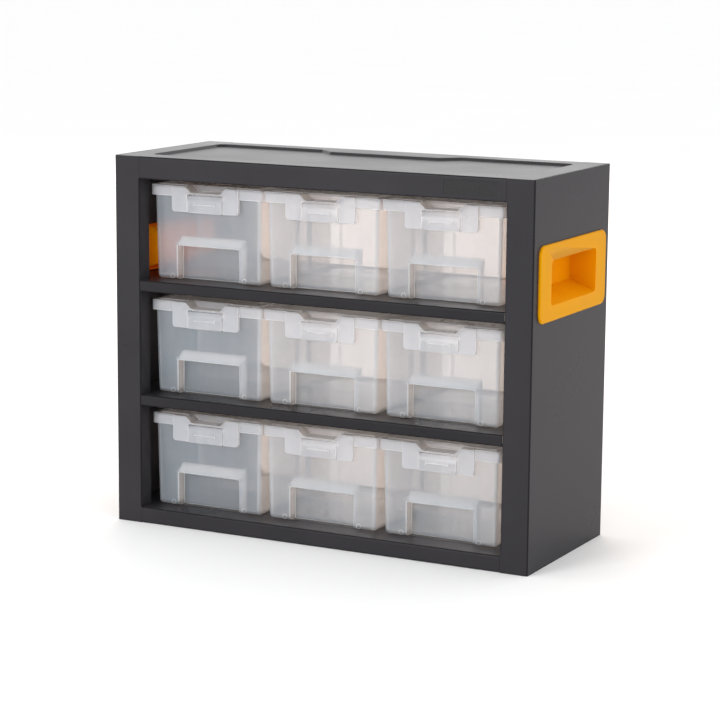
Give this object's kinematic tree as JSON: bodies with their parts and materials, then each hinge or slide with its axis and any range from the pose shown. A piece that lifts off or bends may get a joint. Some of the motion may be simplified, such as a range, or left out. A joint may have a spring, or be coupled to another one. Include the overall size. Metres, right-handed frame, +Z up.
{
  "type": "steel compartment organizer",
  "caption": "Folded sheet-steel parts cabinet with shelves, recessed side handles and rows of translucent pull-out bins, each with a divider, a hinged lid and a front latch.",
  "frame": {"origin": "middle of the cabinet's footprint, on the surface that it stands on", "axes": "+X to the right along the front, +Y from the open front to the back, +Z up"},
  "size_m": [0.389, 0.155, 0.315],
  "materials": {
    "cabinet_paint": "satin powder coat",
    "handle_plastic": "moulded satin",
    "bin_plastic": "translucent moulded",
    "lid_plastic": "translucent moulded"
  },
  "bodies": {
    "cabinet": {"left_side_panel": "cabinet_paint", "right_side_panel": "cabinet_paint", "top_panel": "cabinet_paint", "bottom_panel": "cabinet_paint", "back_panel": "cabinet_paint", "lower_shelf": "cabinet_paint", "upper_shelf": "cabinet_paint", "left_handle": "handle_plastic", "right_handle": "handle_plastic"},
    "bin_bottom_left_body": {"bin_bottom_left": "bin_plastic", "divider_bottom_left": "bin_plastic"},
    "lid_bottom_left_body": {"lid_bottom_left": "lid_plastic"},
    "latch_bottom_left_body": {"latch_bottom_left": "lid_plastic"},
    "bin_bottom_centre_body": {"bin_bottom_centre": "bin_plastic", "divider_bottom_centre": "bin_plastic"},
    "lid_bottom_centre_body": {"lid_bottom_centre": "lid_plastic"},
    "latch_bottom_centre_body": {"latch_bottom_centre": "lid_plastic"},
    "bin_bottom_right_body": {"bin_bottom_right": "bin_plastic", "divider_bottom_right": "bin_plastic"},
    "lid_bottom_right_body": {"lid_bottom_right": "lid_plastic"},
    "latch_bottom_right_body": {"latch_bottom_right": "lid_plastic"},
    "bin_middle_left_body": {"bin_middle_left": "bin_plastic", "divider_middle_left": "bin_plastic"},
    "lid_middle_left_body": {"lid_middle_left": "lid_plastic"},
    "latch_middle_left_body": {"latch_middle_left": "lid_plastic"},
    "bin_middle_centre_body": {"bin_middle_centre": "bin_plastic", "divider_middle_centre": "bin_plastic"},
    "lid_middle_centre_body": {"lid_middle_centre": "lid_plastic"},
    "latch_middle_centre_body": {"latch_middle_centre": "lid_plastic"},
    "bin_middle_right_body": {"bin_middle_right": "bin_plastic", "divider_middle_right": "bin_plastic"},
    "lid_middle_right_body": {"lid_middle_right": "lid_plastic"},
    "latch_middle_right_body": {"latch_middle_right": "lid_plastic"},
    "bin_top_left_body": {"bin_top_left": "bin_plastic", "divider_top_left": "bin_plastic"},
    "lid_top_left_body": {"lid_top_left": "lid_plastic"},
    "latch_top_left_body": {"latch_top_left": "lid_plastic"},
    "bin_top_centre_body": {"bin_top_centre": "bin_plastic", "divider_top_centre": "bin_plastic"},
    "lid_top_centre_body": {"lid_top_centre": "lid_plastic"},
    "latch_top_centre_body": {"latch_top_centre": "lid_plastic"},
    "bin_top_right_body": {"bin_top_right": "bin_plastic", "divider_top_right": "bin_plastic"},
    "lid_top_right_body": {"lid_top_right": "lid_plastic"},
    "latch_top_right_body": {"latch_top_right": "lid_plastic"}
  },
  "joints": [
    {"name": "bin_bottom_left_slide", "type": "slide", "parent": "cabinet", "child": "bin_bottom_left_body", "axis": [0, -1, 0], "range_m": [0, 0.14]},
    {"name": "lid_bottom_left_hinge", "type": "hinge", "parent": "bin_bottom_left_body", "child": "lid_bottom_left_body", "pos_m": [-0.1134, 0.0728, 0.0913], "axis": [-1, 0, 0], "range_deg": [0, 6]},
    {"name": "latch_bottom_left_hinge", "type": "hinge", "parent": "lid_bottom_left_body", "child": "latch_bottom_left_body", "pos_m": [-0.1134, -0.061, 0.085], "axis": [-1, 0, 0], "range_deg": [0, 90]},
    {"name": "bin_bottom_centre_slide", "type": "slide", "parent": "cabinet", "child": "bin_bottom_centre_body", "axis": [0, -1, 0], "range_m": [0, 0.14]},
    {"name": "lid_bottom_centre_hinge", "type": "hinge", "parent": "bin_bottom_centre_body", "child": "lid_bottom_centre_body", "pos_m": [-0.004, 0.0728, 0.0913], "axis": [-1, 0, 0], "range_deg": [0, 6]},
    {"name": "latch_bottom_centre_hinge", "type": "hinge", "parent": "lid_bottom_centre_body", "child": "latch_bottom_centre_body", "pos_m": [-0.004, -0.061, 0.085], "axis": [-1, 0, 0], "range_deg": [0, 90]},
    {"name": "bin_bottom_right_slide", "type": "slide", "parent": "cabinet", "child": "bin_bottom_right_body", "axis": [0, -1, 0], "range_m": [0, 0.14]},
    {"name": "lid_bottom_right_hinge", "type": "hinge", "parent": "bin_bottom_right_body", "child": "lid_bottom_right_body", "pos_m": [0.1054, 0.0728, 0.0913], "axis": [-1, 0, 0], "range_deg": [0, 6]},
    {"name": "latch_bottom_right_hinge", "type": "hinge", "parent": "lid_bottom_right_body", "child": "latch_bottom_right_body", "pos_m": [0.1054, -0.061, 0.085], "axis": [-1, 0, 0], "range_deg": [0, 90]},
    {"name": "bin_middle_left_slide", "type": "slide", "parent": "cabinet", "child": "bin_middle_left_body", "axis": [0, -1, 0], "range_m": [0, 0.14]},
    {"name": "lid_middle_left_hinge", "type": "hinge", "parent": "bin_middle_left_body", "child": "lid_middle_left_body", "pos_m": [-0.1134, 0.0728, 0.1896], "axis": [-1, 0, 0], "range_deg": [0, 6]},
    {"name": "latch_middle_left_hinge", "type": "hinge", "parent": "lid_middle_left_body", "child": "latch_middle_left_body", "pos_m": [-0.1134, -0.061, 0.1833], "axis": [-1, 0, 0], "range_deg": [0, 90]},
    {"name": "bin_middle_centre_slide", "type": "slide", "parent": "cabinet", "child": "bin_middle_centre_body", "axis": [0, -1, 0], "range_m": [0, 0.14]},
    {"name": "lid_middle_centre_hinge", "type": "hinge", "parent": "bin_middle_centre_body", "child": "lid_middle_centre_body", "pos_m": [-0.004, 0.0728, 0.1896], "axis": [-1, 0, 0], "range_deg": [0, 6]},
    {"name": "latch_middle_centre_hinge", "type": "hinge", "parent": "lid_middle_centre_body", "child": "latch_middle_centre_body", "pos_m": [-0.004, -0.061, 0.1833], "axis": [-1, 0, 0], "range_deg": [0, 90]},
    {"name": "bin_middle_right_slide", "type": "slide", "parent": "cabinet", "child": "bin_middle_right_body", "axis": [0, -1, 0], "range_m": [0, 0.14]},
    {"name": "lid_middle_right_hinge", "type": "hinge", "parent": "bin_middle_right_body", "child": "lid_middle_right_body", "pos_m": [0.1054, 0.0728, 0.1896], "axis": [-1, 0, 0], "range_deg": [0, 6]},
    {"name": "latch_middle_right_hinge", "type": "hinge", "parent": "lid_middle_right_body", "child": "latch_middle_right_body", "pos_m": [0.1054, -0.061, 0.1833], "axis": [-1, 0, 0], "range_deg": [0, 90]},
    {"name": "bin_top_left_slide", "type": "slide", "parent": "cabinet", "child": "bin_top_left_body", "axis": [0, -1, 0], "range_m": [0, 0.14]},
    {"name": "lid_top_left_hinge", "type": "hinge", "parent": "bin_top_left_body", "child": "lid_top_left_body", "pos_m": [-0.1134, 0.0728, 0.2879], "axis": [-1, 0, 0], "range_deg": [0, 8]},
    {"name": "latch_top_left_hinge", "type": "hinge", "parent": "lid_top_left_body", "child": "latch_top_left_body", "pos_m": [-0.1134, -0.061, 0.2816], "axis": [-1, 0, 0], "range_deg": [0, 90]},
    {"name": "bin_top_centre_slide", "type": "slide", "parent": "cabinet", "child": "bin_top_centre_body", "axis": [0, -1, 0], "range_m": [0, 0.14]},
    {"name": "lid_top_centre_hinge", "type": "hinge", "parent": "bin_top_centre_body", "child": "lid_top_centre_body", "pos_m": [-0.004, 0.0728, 0.2879], "axis": [-1, 0, 0], "range_deg": [0, 8]},
    {"name": "latch_top_centre_hinge", "type": "hinge", "parent": "lid_top_centre_body", "child": "latch_top_centre_body", "pos_m": [-0.004, -0.061, 0.2816], "axis": [-1, 0, 0], "range_deg": [0, 90]},
    {"name": "bin_top_right_slide", "type": "slide", "parent": "cabinet", "child": "bin_top_right_body", "axis": [0, -1, 0], "range_m": [0, 0.14]},
    {"name": "lid_top_right_hinge", "type": "hinge", "parent": "bin_top_right_body", "child": "lid_top_right_body", "pos_m": [0.1054, 0.0728, 0.2879], "axis": [-1, 0, 0], "range_deg": [0, 8]},
    {"name": "latch_top_right_hinge", "type": "hinge", "parent": "lid_top_right_body", "child": "latch_top_right_body", "pos_m": [0.1054, -0.061, 0.2816], "axis": [-1, 0, 0], "range_deg": [0, 90]}
  ]
}
